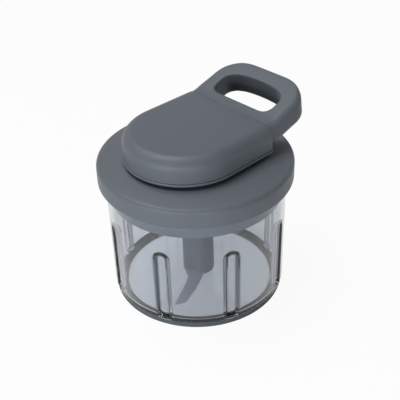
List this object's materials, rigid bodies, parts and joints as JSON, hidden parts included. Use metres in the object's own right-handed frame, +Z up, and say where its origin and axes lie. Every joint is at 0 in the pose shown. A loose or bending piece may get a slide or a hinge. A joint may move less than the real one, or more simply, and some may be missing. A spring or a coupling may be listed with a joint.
{
  "type": "pull cord food chopper",
  "caption": "Hand food chopper: a clear fluted bowl, blades on an upright column, and a lid whose pod holds a sprung cord reel worked by a pull handle.",
  "frame": {"origin": "centre of the bowl's flat underside, on the blade column's axis; the foot ring reaches 2 mm below it", "axes": "+Z up along the blade axis, +X the way the pull handle is drawn"},
  "size_m": [0.1353, 0.126, 0.1291],
  "materials": {
    "grey_plastic": "fine matt moulding, mid grey",
    "dark_plastic": "smooth satin moulding, dark grey",
    "clear_plastic": "clear polished moulding",
    "soft_rubber": "matt grey elastomer",
    "blade_steel": "ground stainless strip",
    "steel": "plain bright steel",
    "pale_nylon": "natural nylon",
    "pull_cord": "braided cord, off-white"
  },
  "bodies": {
    "bowl_body": {"bowl": "clear_plastic", "foot_ring": "soft_rubber", "pivot_pin": "steel"},
    "blade_body": {"blade_column": "dark_plastic", "column_bush": "pale_nylon", "lower_blade": "blade_steel", "upper_blade": "blade_steel"},
    "lid_body": {"lid_shell": "grey_plastic", "lid_plug": "dark_plastic", "lid_gasket": "soft_rubber", "shaft_seal": "soft_rubber", "pod_base": "grey_plastic", "pod_cover": "grey_plastic", "sleeve_bearing": "pale_nylon", "cord_guide": "pale_nylon", "cord_lead": "pull_cord", "plug_screw_1": "steel", "plug_screw_2": "steel", "plug_screw_3": "steel", "plug_screw_4": "steel", "pod_screw_1": "steel", "pod_screw_2": "steel", "pod_screw_3": "steel", "pod_screw_4": "steel"},
    "reel_body": {"reel_drum": "pale_nylon", "spring_cap": "pale_nylon", "mainspring": "steel", "cord_winding": "pull_cord", "drive_sleeve": "dark_plastic"},
    "handle_body": {"pull_handle": "grey_plastic", "handle_plate": "dark_plastic", "cord_knot": "pull_cord", "handle_screw_1": "steel", "handle_screw_2": "steel"}
  },
  "joints": [
    {"name": "lid_lift", "type": "slide", "parent": "bowl_body", "child": "lid_body", "axis": [0, 0, 1], "range_m": [0, 0.1]},
    {"name": "handle_pull", "type": "slide", "parent": "lid_body", "child": "handle_body", "axis": [1, 0, 0], "range_m": [0, 0.45], "stiffness_N_per_m": 12, "springref_m": -0.15, "deforming": ["cord_lead", "cord_winding", "mainspring"]},
    {"name": "reel_spin", "type": "hinge", "parent": "lid_body", "child": "reel_body", "pos_m": [0, 0, 0.1], "axis": [0, 0, -1], "range_deg": [0, 1285], "deforming": ["cord_winding", "mainspring"]},
    {"name": "blade_spin", "type": "hinge", "parent": "bowl_body", "child": "blade_body", "pos_m": [0, 0, 0], "axis": [0, 0, -1], "range_deg": [0, 1285]}
  ],
  "couplings": [
    {"joint": "reel_spin", "follows": "handle_pull", "rad_per_m": 49.751},
    {"joint": "blade_spin", "follows": "handle_pull", "rad_per_m": 49.751}
  ]
}
